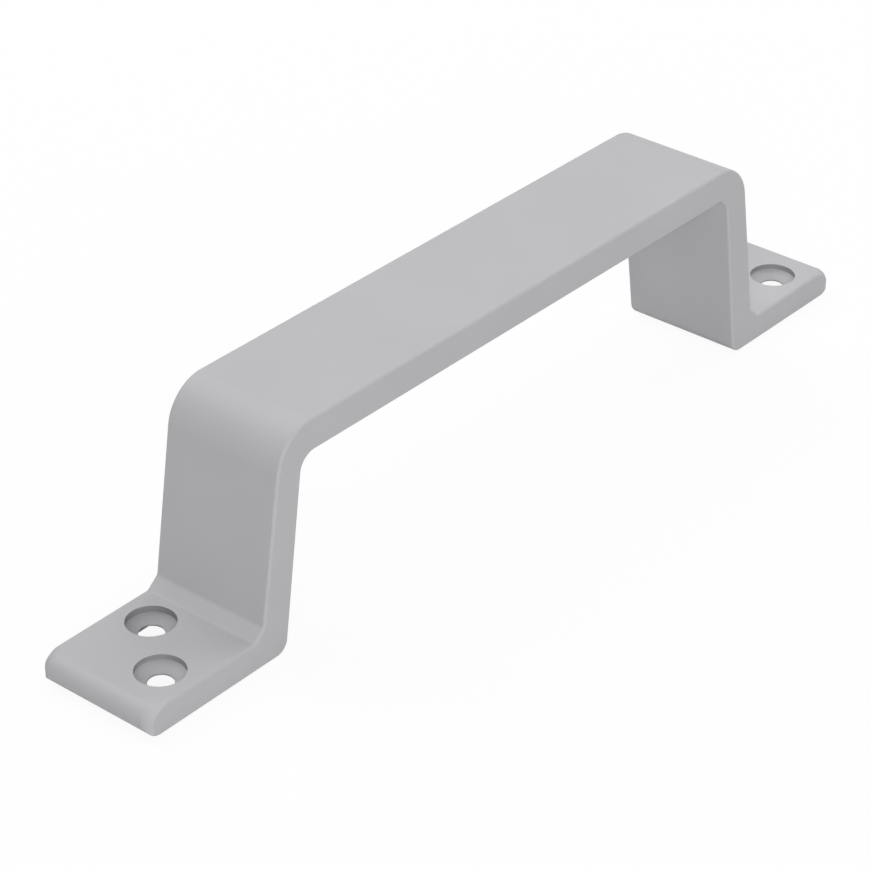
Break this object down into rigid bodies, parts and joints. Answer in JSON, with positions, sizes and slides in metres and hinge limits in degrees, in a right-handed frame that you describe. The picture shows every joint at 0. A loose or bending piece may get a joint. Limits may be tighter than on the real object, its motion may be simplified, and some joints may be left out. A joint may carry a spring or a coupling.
{
  "type": "furniture pull handle",
  "caption": "Cast bar handle for furniture: a flat rounded grip on splayed legs, with hollow feet pierced by staggered recessed screw holes.",
  "frame": {"origin": "Midway between the feet, in the plane of their undersides, which is the mounting surface.", "axes": "+X runs along the grip from one foot to the other, +Y across the handle, and +Z away from the mounting surface to the grip."},
  "size_m": [0.2324, 0.03, 0.0507],
  "materials": {
    "paint": "matte"
  },
  "bodies": {
    "root": {"handle": "paint"}
  },
  "joints": []
}
